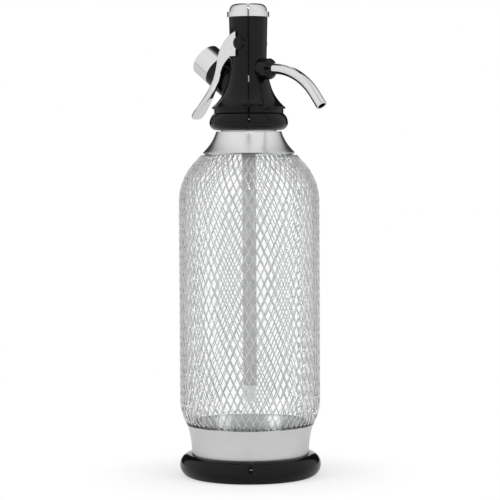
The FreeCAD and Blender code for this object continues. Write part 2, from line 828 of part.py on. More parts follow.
def spout():
    nut_end = "spout_spot + spout_nut_length"
    blank = turned(
        "SpoutNutTurning",
        [
            ("spout_radius + running_gap", "spout_spot + spout_seal_height"),
            ("spout_seal_radius", "spout_spot + spout_seal_height"),
            ("spout_seal_radius", "spout_spot"),
            ("spout_nut_radius", "spout_spot"),
            ("spout_nut_radius", nut_end),
            ("spout_nut_mouth", f"{nut_end} + spout_nut_nose"),
            ("spout_radius + running_gap", f"{nut_end} + spout_nut_nose"),
        ],
    )
    along_spout(blank)
    flats = doc.addObject("Part::Prism", "SpoutNutFlats")
    flats.Polygon = 8
    flats.setExpression("Circumradius", bound("spout_nut_radius * 1.03"))
    flats.setExpression("Height", bound("spout_nut_length * 4"))
    along_spout(flats)
    nut = doc.addObject("Part::Common", "SpoutNut")
    nut.Base = blank
    nut.Tool = flats
    keep(nut, "spout_nut")
    seal = turned(
        "SpoutSeal",
        [
            ("spout_radius + running_gap", "spout_spot"),
            ("spout_seal_radius", "spout_spot"),
            ("spout_seal_radius", "spout_spot + spout_seal_height"),
            ("spout_radius + running_gap", "spout_spot + spout_seal_height"),
        ],
    )
    keep(along_spout(seal), "spout_seal")

    bend_start = "spout_start + spout_run"
    bend_end = (
        f"{bend_start} + spout_bend * sin(spout_angle)",
        "spout_height - spout_bend * (1 - cos(spout_angle))",
    )
    mouth = (
        f"{bend_end[0]} + spout_end * cos(spout_angle)",
        f"{bend_end[1]} - spout_end * sin(spout_angle)",
    )
    path = doc.addObject("Sketcher::SketchObject", "SpoutPath")
    path.Placement = FreeCAD.Placement(Vector(0, 0, 0), FreeCAD.Rotation(Vector(1, 0, 0), 90))
    corners = [("spout_start", "spout_height"), (bend_start, "spout_height"), bend_end, mouth]
    spots = [Vector(value(x), value(y), 0) for x, y in corners]
    path.addGeometry(Part.LineSegment(spots[0], spots[1]), False)
    path.addGeometry(arc_between(spots[1], spots[2], value("spout_bend"), -1), False)
    path.addGeometry(Part.LineSegment(spots[2], spots[3]), False)
    path.addConstraint(Sketcher.Constraint("Coincident", 0, 2, 1, 2))
    path.addConstraint(Sketcher.Constraint("Coincident", 1, 1, 2, 1))
    held = [(0, 1, corners[0]), (0, 2, corners[1]), (1, 1, corners[2]), (2, 2, corners[3])]
    for edge, end, (across, up) in held:
        for kind, formula in (("DistanceX", across), ("DistanceY", up)):
            number = path.addConstraint(Sketcher.Constraint(kind, edge, end, value(formula)))
            path.setExpression(f"Constraints[{number}]", bound(formula))
    number = path.addConstraint(Sketcher.Constraint("Radius", 1, value("spout_bend")))
    path.setExpression(f"Constraints[{number}]", bound("spout_bend"))
    tubes = []
    for name, radius in (("SpoutOuter", "spout_radius"), ("SpoutInner", "spout_bore")):
        ring = doc.addObject("Part::Circle", f"{name}Ring")
        ring.setExpression("Radius", bound(radius))
        place(ring, x="spout_start", z="spout_height", axis=(0, 1, 0), angle="90")
        sweep = doc.addObject("Part::Sweep", name)
        sweep.Sections = [ring]
        sweep.Spine = (path, ["Edge1", "Edge2", "Edge3"])
        sweep.Solid = True
        tubes.append(sweep)
    keep(cut("SpoutTube", tubes[0], tubes[1:]), "spout_tube")


def pivot_screws():
    outer = "ear_seat + ear_thickness + free_gap * 2"
    screw = turned(
        "Screw",
        [
            ("0", "lever_bore + free_gap"),
            ("screw_radius", "lever_bore + free_gap"),
            ("screw_radius", outer),
            ("screw_head_radius", outer),
            ("screw_head_radius", f"{outer} + screw_head_height / 2"),
            ("screw_head_radius - screw_head_height", f"{outer} + screw_head_height"),
            ("0", f"{outer} + screw_head_height"),
        ],
        {4: ("screw_head_height * 1.4", 1)},
    )
    place(screw, x="pivot_out", z="pivot_height", axis=(1, 0, 0), angle="90")
    far = doc.addObject("Part::Mirroring", "FarScrew")
    far.Source = screw
    far.Normal = Vector(0, 1, 0)
    pair = doc.addObject("Part::Compound", "Screws")
    pair.Links = [screw, far]
    keep(pair, "pivot_screws")


neck_parts()
head()
riser_and_valve()
top_cap()
spout()
pivot_screws()


def charger_inlet():
    cap_low = "inlet_length + free_gap"
    cap_top = f"{cap_low} + inlet_cap_length"
    spigot_end = "inlet_length + spigot_length"
    liner_top = f"{spigot_end} + running_gap + liner_height"
    cap = turned(
        "InletCap",
        [
            ("spigot_radius + running_gap", cap_low),
            ("inlet_radius", cap_low),
            ("inlet_radius", f"{cap_top} - inlet_cap_dome"),
            ("0", cap_top),
            ("0", liner_top),
            ("spigot_radius + running_gap", liner_top),
        ],
        {2: (rounding("inlet_cap_dome", "inlet_radius"), 1)},
    )
    keep(along_inlet(cap), "charger_cap")
    liner = turned(
        "InletLiner",
        [
            ("0", f"{spigot_end} + running_gap"),
            ("spigot_radius", f"{spigot_end} + running_gap"),
            ("spigot_radius", liner_top),
            ("0", liner_top),
        ],
    )
    keep(along_inlet(liner), "charger_cap_liner")
    floor = "inlet_length + spigot_length - socket_depth"
    pin = turned(
        "PiercingPin",
        [
            ("0", floor),
            ("pin_base_radius", floor),
            ("pin_base_radius", f"{floor} + pin_base_height"),
            ("gas_bore", f"{floor} + pin_base_height"),
            ("gas_bore", f"{floor} + pin_length - gas_bore * 2"),
            ("0", f"{floor} + pin_length"),
        ],
    )
    keep(along_inlet(pin), "piercing_pin")
    seal = turned(
        "InletSeal",
        [
            ("pin_base_radius + running_gap", floor),
            ("socket_radius", floor),
            ("socket_radius", f"{floor} + liner_height"),
            ("pin_base_radius + running_gap", f"{floor} + liner_height"),
        ],
    )
    keep(along_inlet(seal), "inlet_seal")


def lever_arm():
    """The arm from the near ear, past the side of the inlet and in to the middle under it.

    Each station gives the share of the arm's reach and of its drop, how far it stands to the
    side, and half of its section's height and width.
    """
    reach, drop = value("arm_reach"), value("arm_drop")
    ear = value("ear_radius")
    inner = value("ear_seat + free_gap")
    thick = value("ear_thickness")
    pass_side = -value("inlet_radius + free_gap * 4") - value("arm_thickness") / 2
    half = value("arm_thickness") / 2
    pivot = Vector(value("pivot_out"), 0, value("pivot_height"))
    wide = value("tip_width") / 2
    flat = half * 1.15
    stations = [
        (0.212, -inner - thick / 2, 0.060, ear * 1.2, thick / 2 * 0.95),
        (0.275, -inner - thick * 1.2, 0.188, ear * 1.09, half * 0.85),
        (0.326, pass_side, 0.347, ear * 0.59, half),
        (0.379, pass_side, 0.492, ear * 0.52, half),
        (0.506, pass_side * 0.83, 0.641, ear * 0.41, wide * 0.42),
        (0.701, pass_side * 0.45, 0.786, flat, wide * 0.72),
        (0.908, pass_side * 0.1, 0.935, flat, wide),
        (0.978, 0.0, 0.985, flat * 0.9, wide * 0.8),
        (1.0, 0.0, 1.0, flat * 0.6, wide * 0.4),
    ]
    spots = [pivot + Vector(-out * reach, side, -down * drop) for out, side, down, _, _ in stations]
    sections = []
    for index, (_, _, _, tall, broad) in enumerate(stations):
        before = spots[max(index - 1, 0)]
        after = spots[min(index + 1, len(spots) - 1)]
        run = after - before
        run.y = 0
        run.normalize()
        across = Vector(-run.z, 0, run.x)
        edge = Vector(0, 1, 0)
        corners = [
            spots[index] + across * tall * a + edge * broad * b
            for a, b in ((-1, -1), (1, -1), (1, 1), (-1, 1))
        ]
        sections.append(Part.makePolygon(corners + corners[:1]))
    arm = doc.addObject("Part::Feature", "Arm")
    arm.Shape = Part.makeLoft(sections, True, False)
    return arm


def lever():
    outer = "ear_seat + free_gap + ear_thickness"
    body = doc.addObject("PartDesign::Body", "Fork")
    sketch = body.newObject("Sketcher::SketchObject", "Fork_outline")
    sketch.AttachmentSupport = [(origin_feature(body, "XZ_Plane"), "")]
    sketch.MapMode = "FlatFace"
    edge = "pivot_out - ear_edge"
    points = [
        ("-web_back", "pivot_height - web_low"),
        ("-web_back + web_wall", "pivot_height - ear_below"),
        (edge, "pivot_height - ear_below"),
        (edge, "pivot_height - ear_radius"),
        ("pivot_out", "pivot_height - ear_radius"),
        ("pivot_out + ear_radius", "pivot_height"),
        ("pivot_out", "pivot_height + ear_radius"),
        (edge, "pivot_height + ear_radius"),
        (edge, "pivot_height + ear_above"),
        ("-web_back", "pivot_height - web_high"),
    ]
    draw_outline(sketch, points, {4: ("ear_radius", 1), 5: ("ear_radius", 1), 8: ("ear_arc", 1)})
    pad = body.newObject("PartDesign::Pad", "Fork_pad")
    pad.Profile = sketch
    pad.Midplane = True
    pad.setExpression("Length", bound(f"({outer}) * 2"))
    body.Tip = pad
    room = "ear_seat + free_gap"
    gap = box("ForkRoom", "web_back * 2 - web_wall", f"({room}) * 2", "ear_above * 4",
              "-web_back + web_wall", f"-({room})", "pivot_height - ear_above * 2")
    pivot = cylinder("EarHoles", "screw_radius + running_gap / 2", "column_radius * 4",
                     x="pivot_out", y="column_radius * 2", z="pivot_height",
                     axis=(1, 0, 0), angle="90")
    fork = cut("ForkCut", body, [gap, pivot])
    plate = box("TonguePlate", "web_back - web_wall / 2 + pivot_out + tongue_reach",
                "tongue_half * 2", "tongue_height", "-web_back + web_wall / 2", "-tongue_half",
                "pivot_height - tongue_height / 2")
    split = box("TongueSplit", "web_back", "(stem_radius + free_gap * 2) * 2",
                "tongue_height * 2", "-stem_radius * 2",
                "-stem_radius - free_gap * 2", "pivot_height - tongue_height")
    tongue = cut("Tongue", plate, [split])
    root = box("TongueRoot", "web_back - web_wall / 2 - column_radius + web_wall * 2",
               "tongue_half * 2", "web_low - web_wall + tongue_height / 2", "-web_back + web_wall / 2",
               "-tongue_half", "pivot_height - web_low + web_wall")
    keep(fused("Lever", [fork, tongue, root, lever_arm()]), "lever")


def write_steps():
    doc.recompute()
    for item in doc.Objects:
        if {"Invalid", "Error"} & set(item.State):
            raise ValueError(f"{item.Name} failed: {item.State}")
    for item in kept:
        if item.Shape.isNull() or not item.Shape.isValid():
            raise ValueError(f"{item.Label} has no sound shape")
    os.makedirs("parts", exist_ok=True)
    for item in kept:
        item.Shape.exportStep(f"parts/{item.Label}.step")
        print(f"{item.Label}: {len(item.Shape.Solids)} solids, {item.Shape.Volume:.1f} mm3")


charger_inlet()
lever()
write_steps()
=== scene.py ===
"""Looks of a soda siphon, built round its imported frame. Metres, +Z up, +X is the spout's side."""

import logging
import math
from dataclasses import dataclass
from enum import Enum
from typing import NamedTuple

import bmesh
import bpy
from mathutils import Matrix, Vector


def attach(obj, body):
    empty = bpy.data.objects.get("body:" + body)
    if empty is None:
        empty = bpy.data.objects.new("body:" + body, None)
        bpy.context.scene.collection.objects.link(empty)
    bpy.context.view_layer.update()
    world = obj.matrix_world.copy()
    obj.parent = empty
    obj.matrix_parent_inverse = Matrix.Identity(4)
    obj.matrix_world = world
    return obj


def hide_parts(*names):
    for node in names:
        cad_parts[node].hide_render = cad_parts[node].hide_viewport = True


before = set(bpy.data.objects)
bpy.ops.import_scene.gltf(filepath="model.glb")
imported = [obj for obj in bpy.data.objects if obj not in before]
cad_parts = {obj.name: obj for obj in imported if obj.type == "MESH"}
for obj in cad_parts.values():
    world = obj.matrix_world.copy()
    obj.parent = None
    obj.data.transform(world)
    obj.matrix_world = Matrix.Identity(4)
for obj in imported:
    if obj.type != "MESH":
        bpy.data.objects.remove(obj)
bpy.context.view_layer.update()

log = logging.getLogger("siphon")
MM = 0.001
Triple = tuple[float, float, float]
EVEN: Triple = (1.0, 1.0, 1.0)
WHITE: Triple = (1.0, 1.0, 1.0)


def opaque(colour: Triple) -> tuple[float, float, float, float]:
    """A colour with full alpha.

    Args:
        colour: Red, green and blue.

    Returns:
        Red, green, blue and 1.
    """
    return (*colour, 1.0)


class Signal:
    """A shader value that Python's operators can work on."""

    def __init__(self, shader: "Shader", socket: bpy.types.NodeSocket) -> None:
        """Hold a socket and the shader that it belongs to.

        Args:
            shader: The shader that the socket is in.
            socket: The socket that gives the value.
        """
        self.shader = shader
        self.socket = socket

    def combined(self, operation: str, first: "Signal | float", second: "Signal | float") -> "Signal":
        """Add a Math node.

        Args:
            operation: The Math node's operation.
            first: Its first input.
            second: Its second input.

        Returns:
            The node's result.
        """
        node = self.shader.node("ShaderNodeMath", {"operation": operation}, {0: first, 1: second})
        return Signal(self.shader, node.outputs[0])

    def __add__(self, other: "Signal | float") -> "Signal":
        """Self plus other."""
        return self.combined("ADD", self, other)

    def __radd__(self, other: float) -> "Signal":
        """Other plus self."""
        return self.combined("ADD", other, self)

    def __sub__(self, other: "Signal | float") -> "Signal":
        """Self less other."""
        return self.combined("SUBTRACT", self, other)

    def __mul__(self, other: "Signal | float") -> "Signal":
        """Self times other."""
        return self.combined("MULTIPLY", self, other)

    def __abs__(self) -> "Signal":
        """Self without its sign."""
        return self.combined("ABSOLUTE", self, 0.0)

    def larger(self, other: "Signal | float") -> "Signal":
        """The larger of self and other."""
        return self.combined("MAXIMUM", self, other)


class Shader:
    """The node tree of a material or a world, with one method that adds any node."""

    def __init__(self, owner: bpy.types.ID) -> None:
        """Start with an empty tree.

        Args:
            owner: The material or world that the tree belongs to.
        """
        owner.use_nodes = True
        self.owner = owner
        self.tree = owner.node_tree
        self.tree.nodes.clear()

    def node(self, kind: str, settings: dict | None = None, values: dict | None = None) -> bpy.types.Node:
        """Add a node, set it and fill its sockets.

        Args:
            kind: The node's type.
            settings: Its properties; "stops" gives a colour ramp's places and colours.
            values: What each input socket gets, a number, a colour, a Signal or a socket.

        Returns:
            The new node.
        """
        node = self.tree.nodes.new(kind)
        for key, setting in (settings or {}).items():
            if key == "stops":
                ramp = node.color_ramp
                while len(ramp.elements) < len(setting):
                    ramp.elements.new(0.5)
                for element, (place, colour) in zip(ramp.elements, setting):
                    element.position = place
                    element.color = opaque(colour)
            else:
                setattr(node, key, setting)
        for key, given in (values or {}).items():
            if isinstance(given, Signal):
                given = given.socket
            if isinstance(given, bpy.types.NodeSocket):
                self.tree.links.new(given, node.inputs[key])
            else:
                node.inputs[key].default_value = given
        return node

    def own_place(self) -> bpy.types.NodeSocket:
        """The object's own coordinates."""
        return self.node("ShaderNodeTexCoord").outputs["Object"]

    def noise(self, scale: float, stretch: Triple = EVEN, detail: float = 3.0) -> Signal:
        """Noise on the object's own coordinates.

        Args:
            scale: How many grains there are to a metre.
            stretch: How much finer the grain is along each axis.
            detail: How many octaves it has.

        Returns:
            A value from 0 to 1.
        """
        mapped = self.node("ShaderNodeMapping", None, {"Vector": self.own_place(), "Scale": stretch})
        grain = self.node(
            "ShaderNodeTexNoise", None,
            {"Vector": mapped.outputs[0], "Scale": scale, "Detail": detail},
        )
        return Signal(self, grain.outputs[0])

    def blend(self, factor: Signal, low: Triple, high: Triple) -> bpy.types.NodeSocket:
        """A colour between two.

        Args:
            factor: 0 gives the low colour and 1 the high one.
            low: The colour at 0.
            high: The colour at 1.

        Returns:
            The colour's socket.
        """
        mix = self.node(
            "ShaderNodeMix", {"data_type": "RGBA"},
            {0: factor, 6: opaque(low), 7: opaque(high)},
        )
        return mix.outputs[2]

    def relief(self, height: Signal, distance: float, edge: float) -> bpy.types.NodeSocket:
        """A surface normal with a bump, and with softened edges where edge is above 0.

        Args:
            height: The bump's height, from 0 to 1.
            distance: How high 1 stands, in metres.
            edge: The radius of the softened edges, in metres.

        Returns:
            The normal's socket.
        """
        values = {"Height": height, "Distance": distance}
        if edge > 0:
            soft = self.node("ShaderNodeBevel", {"samples": 4}, {"Radius": edge})
            values["Normal"] = soft.outputs[0]
        return self.node("ShaderNodeBump", None, values).outputs[0]

    def rays(self, *kinds: str) -> Signal:
        """1 for rays of the named kinds, and 0 for the rest.

        Args:
            kinds: Names of the Light Path node's outputs.

        Returns:
            The value.
        """
        path = self.node("ShaderNodeLightPath")
        seen, *others = (Signal(self, path.outputs[kind]) for kind in kinds)
        for other in others:
            seen = seen.larger(other)
        return seen

    def close(self, shown: bpy.types.Node, kind: str = "ShaderNodeOutputMaterial") -> bpy.types.ID:
        """Put a node's result out.

        Args:
            shown: The node whose first output is shown.
            kind: The type of the output node.

        Returns:
            The finished material or world.
        """
        self.node(kind, None, {"Surface": shown.outputs[0]})
        return self.owner

    def surface(self, values: dict) -> bpy.types.Material:
        """Close the tree with the surface shader.

        Args:
            values: What the shader's sockets get.

        Returns:
            The finished material.
        """
        return self.close(self.node("ShaderNodeBsdfPrincipled", None, values))


@dataclass(frozen=True)
class Moulding:
    """Hard moulded plastic, glossy or satin, with faint cloudiness and fine wear."""

    name: str
    colour: Triple
    worn: Triple
    roughness: float
    level: float
    edge: float = 0.3 * MM
    cloud_scale: float = 70.0
    cloud_detail: float = 4.0
    cloud_dulling: float = 0.05
    cloud_relief: float = 0.7
    wear_scale: float = 2600.0
    wear_dulling: float = 0.03
    wear_relief: float = 0.3
    depth: float = 0.01 * MM

    def material(self) -> bpy.types.Material:
        """Make the material."""
        shader = Shader(bpy.data.materials.new(self.name))
        cloud = shader.noise(self.cloud_scale, detail=self.cloud_detail)
        wear = shader.noise(self.wear_scale)
        height = cloud * self.cloud_relief + wear * self.wear_relief
        return shader.surface({
            "Base Color": shader.blend(cloud, self.colour, self.worn),
            "Roughness": self.roughness + (cloud - 0.5) * self.cloud_dulling + wear * self.wear_dulling,
            "Specular IOR Level": self.level,
            "Normal": shader.relief(height, self.depth, self.edge),
        })


@dataclass(frozen=True)
class Metal:
    """Plated or plain metal; stretch sets the direction of its grain and drawn its anisotropy."""

    name: str
    colour: Triple
    shade: Triple
    roughness: float
    grain: float
    stretch: Triple = EVEN
    scale: float = 900.0
    depth: float = 0.002 * MM
    edge: float = 0.3 * MM
    drawn: float = 0.0
    drawn_turn: float = 0.25
    grain_detail: float = 2.0
    cloud_scale: float = 60.0
    cloud_dulling: float = 0.02

    def material(self) -> bpy.types.Material:
        """Make the material."""
        shader = Shader(bpy.data.materials.new(self.name))
        cloud = shader.noise(self.cloud_scale)
        grain = shader.noise(self.scale, self.stretch, detail=self.grain_detail)
        return shader.surface({
            "Base Color": shader.blend(cloud * 0.5 + grain * 0.5, self.shade, self.colour),
            "Metallic": 1.0,
            "Anisotropic": self.drawn,
            "Anisotropic Rotation": self.drawn_turn,
            "Roughness": self.roughness + grain * self.grain + cloud * self.cloud_dulling,
            "Normal": shader.relief(grain, self.depth, self.edge),
        })


@dataclass(frozen=True)
class Clear:
    """Clear glass or plastic, with faint waves from its making."""

    name: str
    colour: Triple
    ior: float
    haze: float
    wave: float
    wave_scale: float = 45.0
    wave_stretch: Triple = (1.0, 1.0, 0.6)

    def material(self) -> bpy.types.Material:
        """Make the material."""
        shader = Shader(bpy.data.materials.new(self.name))
        cloud = shader.noise(self.wave_scale, self.wave_stretch)
        return shader.surface({
            "Base Color": shader.blend(cloud, self.colour, WHITE),
            "Roughness": cloud * self.haze,
            "IOR": self.ior,
            "Transmission Weight": 1.0,
            "Normal": shader.relief(cloud, self.wave, 0.0),
        })


@dataclass(frozen=True)
class Rubber:
    """Matt rubber with a fine grain."""

    name: str
    colour: Triple
    worn: Triple
    roughness: float = 0.62
    level: float = 0.3
    grain_scale: float = 1800.0
    grain_detail: float = 5.0
    grain_dulling: float = 0.2
    depth: float = 0.03 * MM
    edge: float = 0.2 * MM

    def material(self) -> bpy.types.Material:
        """Make the material."""
        shader = Shader(bpy.data.materials.new(self.name))
        grain = shader.noise(self.grain_scale, detail=self.grain_detail)
        return shader.surface({
            "Base Color": shader.blend(grain, self.colour, self.worn),
            "Roughness": self.roughness + grain * self.grain_dulling,
            "Specular IOR Level": self.level,
            "Normal": shader.relief(grain, self.depth, self.edge),
        })


class Finish(Enum):
    """The finishes, most of them named for the record's material slots."""

    black_moulding = Moulding("gloss_black", (0.002, 0.002, 0.002), (0.004, 0.004, 0.004), 0.06, 0.2)
    chrome = Metal("polished_chrome", (0.80, 0.80, 0.81), (0.72, 0.72, 0.73), 0.04, 0.03)
    satin_chrome = Metal("satin_chrome", (0.82, 0.82, 0.82), (0.76, 0.76, 0.76), 0.2, 0.05)
    steel = Metal("turned_steel", (0.70, 0.69, 0.67), (0.55, 0.54, 0.53), 0.24, 0.14)
    brushed_band = Metal(
        "brushed_steel", (0.78, 0.78, 0.78), (0.62, 0.62, 0.62), 0.27, 0.12,
        stretch=(0.006, 0.006, 1.0), scale=7000.0, depth=0.004 * MM, drawn=0.85,
    )
    glass = Clear("bottle_glass", (0.965, 0.985, 0.98), 1.47, 0.02, 0.05 * MM)
    mesh_wire = Metal("jacket_wire", (0.80, 0.80, 0.80), (0.52, 0.52, 0.52), 0.10, 0.10, edge=0.0)
    rubber = Rubber("black_rubber", (0.014, 0.014, 0.015), (0.03, 0.03, 0.031))
    red_rubber = Rubber("red_rubber", (0.20, 0.018, 0.014), (0.28, 0.035, 0.028))
    grey_tube = Moulding("grey_tube", (0.58, 0.58, 0.585), (0.66, 0.66, 0.665), 0.3, 0.4)
    clear_tube = Clear("clear_tube", (0.72, 0.73, 0.73), 1.4, 0.18, 0.02 * MM)


CARRIED: dict[Finish, tuple[str, ...]] = {
    Finish.black_moulding: (
        "foot_ring", "neck_nut", "trim_ring", "siphon_head", "spout_nut", "pivot_screws",
    ),
    Finish.chrome: ("top_cap", "spout_tube", "charger_cap"),
    Finish.satin_chrome: ("shoulder_collar",),
    Finish.steel: (
        "neck_thread", "valve_seat", "valve_disc", "valve_stem", "valve_spring", "piercing_pin",
    ),
    Finish.brushed_band: ("base_band",),
    Finish.glass: ("glass_bottle",),
    Finish.rubber: (
        "head_gasket", "top_cap_seal", "charger_cap_liner", "inlet_seal", "spout_seal",
    ),
    Finish.red_rubber: ("stem_washer",),
    Finish.grey_tube: ("riser_tube",),
    Finish.clear_tube: ("riser_tip",),
}


class Dresser:
    """Makes each finish once and puts it on pieces."""

    def __init__(self) -> None:
        """Start with nothing made."""
        self.made: dict[Finish, bpy.types.Material] = {}

    def dress(self, piece: bpy.types.Object, finish: Finish) -> None:
        """Give a piece one finish all over.

        Args:
            piece: The object to dress.
            finish: The finish it gets.
        """
        if finish not in self.made:
            self.made[finish] = finish.value.material()
        if not piece.material_slots:
            piece.data.materials.append(self.made[finish])
        for place in piece.material_slots:
            place.material = self.made[finish]

    def dress_carried(self) -> None:
        """Give every CAD node that the scene keeps its finish."""
        for finish, names in CARRIED.items():
            for name in names:
                self.dress(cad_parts[name], finish)
                log.info("%s wears %s", name, finish.value.name)


DRESSER = Dresser()


def new_object(name: str, mesh: bmesh.types.BMesh) -> bpy.types.Object:
    """Turn a bmesh into an object in the scene.

    Args:
        name: The object's name.
        mesh: Its shape, which is freed.

    Returns:
        The new object.
    """
    data = bpy.data.meshes.new(name)
    mesh.to_mesh(data)
    mesh.free()
    made = bpy.data.objects.new(name, data)
    bpy.context.scene.collection.objects.link(made)
    return made


def add_piece(name: str, mesh: bmesh.types.BMesh, body: str, finish: Finish) -> bpy.types.Object:
    """Turn a bmesh into a piece that rides on a body.

    Args:
        name: The piece's name.
        mesh: Its shape, which is freed.
        body: The CAD body that it rides on.
        finish: Its finish, which has the name of a slot.

    Returns:
        The new object.
    """
    piece = new_object(name, mesh)
    piece.data.shade_smooth()
    DRESSER.dress(piece, finish)
    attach(piece, body)
    log.info("%s: %d vertices on %s", name, len(piece.data.vertices), body)
    return piece


def shaped(mesh: bmesh.types.BMesh, steps: list[tuple[str, dict]]) -> bpy.types.Mesh:
    """Run modifiers on a mesh and keep only their result.

    Args:
        mesh: The shape to start from, which is freed.
        steps: Each modifier's type and settings, in order.

    Returns:
        The finished mesh.
    """
    blank = new_object("blank", mesh)
    for kind, settings in steps:
        modifier = blank.modifiers.new(kind.lower(), kind)
        for key, setting in settings.items():
            setattr(modifier, key, setting)
    result = bpy.data.meshes.new_from_object(
        blank.evaluated_get(bpy.context.evaluated_depsgraph_get()))
    bpy.data.objects.remove(blank)
    return result


@dataclass
class Jacket:
    """The woven wire jacket, which follows the bottle from the band up to the collar."""

    radius: float = 56.0 * MM
    low: float = 41.3 * MM
    lower_arc: float = 40.0 * MM
    barrel_start: float = 61.0 * MM
    barrel_end: float = 218.0 * MM
    shoulder_arc: float = 46.0 * MM
    shoulder_angle: float = math.radians(43.0)
    high: float = 255.3 * MM
    wires: int = 57
    pitch: float = 12.8 * MM
    wire_radius: float = 0.47 * MM
    depth: float = 0.80 * MM
    wave: float = 0.32 * MM
    sides: int = 6
    steps_per_pitch: int = 4

    @property
    def lower_angle(self) -> float:
        """How far under level the line starts, on the arc below the barrel."""
        return math.asin((self.barrel_start - self.low) / self.lower_arc)

    @property
    def lower_run(self) -> float:
        """The length of the arc below the barrel."""
        return self.lower_angle * self.lower_arc

    @property
    def barrel_run(self) -> float:
        """The length of the straight barrel."""
        return self.barrel_end - self.barrel_start

    @property
    def shoulder_run(self) -> float:
        """The length of the arc above the barrel."""
        return self.shoulder_arc * self.shoulder_angle

    def line_at(self, run: float) -> tuple[float, float, float, float]:
        """A place on the bottle's outer line.

        Args:
            run: The length along the line, from its lowest point.

        Returns:
            Radius, height, and the outward direction's radial and upward parts.
        """
        if run < self.lower_run:
            angle = run / self.lower_arc - self.lower_angle
            centre = self.radius - self.lower_arc
            return (
                centre + self.lower_arc * math.cos(angle),
                self.barrel_start + self.lower_arc * math.sin(angle),
                math.cos(angle), math.sin(angle),
            )
        above = run - self.lower_run - self.barrel_run
        if above < 0:
            return self.radius, self.barrel_start + run - self.lower_run, 1.0, 0.0
        angle = min(above / self.shoulder_arc, self.shoulder_angle)
        past = max(above - self.shoulder_run, 0.0)
        centre = self.radius - self.shoulder_arc
        return (
            centre + self.shoulder_arc * math.cos(angle) - past * math.sin(angle),
            self.barrel_end + self.shoulder_arc * math.sin(angle) + past * math.cos(angle),
            math.cos(angle), math.sin(angle),
        )

    def run_length(self) -> float:
        """The length of the bottle's line under the jacket."""
        bend_top = self.barrel_end + self.shoulder_arc * math.sin(self.shoulder_angle)
        slope = (self.high - bend_top) / math.cos(self.shoulder_angle)
        return self.lower_run + self.barrel_run + self.shoulder_run + slope

    def strand(
        self, mesh: bmesh.types.BMesh, hand: int,
    ) -> "list[bmesh.types.BMVert | bmesh.types.BMEdge | bmesh.types.BMFace]":
        """Wind one wire round the bottle.

        Args:
            mesh: Where the wire goes.
            hand: 1 winds one way and starts outside, -1 winds the other way and starts inside.

        Returns:
            The wire's vertices, edges and faces.
        """
        run = self.run_length()
        steps = round(run / self.pitch * self.steps_per_pitch)
        turn = hand * math.tau / self.wires * run / self.pitch
        slant = math.hypot(math.tau / self.wires * self.radius, self.pitch) / self.pitch
        round_wire = bmesh.ops.create_circle(
            mesh, cap_ends=True, segments=self.sides, radius=self.wire_radius)["verts"]
        bmesh.ops.scale(mesh, vec=(1.0, slant, 1.0), verts=round_wire)
        bmesh.ops.translate(mesh, vec=(self.radius, 0.0, 0.0), verts=round_wire)
        known = set(mesh.verts) - set(round_wire)
        section = list({face for vert in round_wire for face in vert.link_faces})
        bmesh.ops.spin(
            mesh, geom=section, cent=(0, 0, 0), axis=(0, 0, 1), dvec=(0, 0, run / steps),
            angle=turn, steps=steps, use_merge=False, use_normal_flip=False, use_duplicate=False,
        )
        wire = [vert for vert in mesh.verts if vert not in known]
        for vert in wire:
            angle = math.atan2(vert.co.y, vert.co.x)
            weave = hand * self.wave * math.cos(math.tau * vert.co.z / self.pitch)
            out = math.hypot(vert.co.x, vert.co.y) - self.radius - self.depth + weave
            across, height, outward, upward = self.line_at(vert.co.z)
            across += out * outward
            vert.co = (across * math.cos(angle), across * math.sin(angle), height + out * upward)
        edges = {edge for vert in wire for edge in vert.link_edges}
        faces = {face for vert in wire for face in vert.link_faces}
        return [*wire, *edges, *faces]

    def build(self) -> None:
        """Make the jacket from its two sets of wires."""
        mesh = bmesh.new()
        for hand in (1, -1):
            wire = self.strand(mesh, hand)
            for copy in range(1, self.wires):
                new = bmesh.ops.duplicate(mesh, geom=wire)["geom"]
                verts = [item for item in new if isinstance(item, bmesh.types.BMVert)]
                turn = Matrix.Rotation(math.tau * copy / self.wires, 3, "Z")
                bmesh.ops.rotate(mesh, cent=(0, 0, 0), matrix=turn, verts=verts)
        bmesh.ops.recalc_face_normals(mesh, faces=mesh.faces)
        piece = add_piece("jacket_mesh", mesh, "bottle", Finish.mesh_wire)
        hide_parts("wire_mesh")


class Station(NamedTuple):
    """A section of the lever's arm: its middle, and half its thickness and width, in millimetres."""

    x: float
    y: float
    z: float
    half_thickness: float
    half_width: float


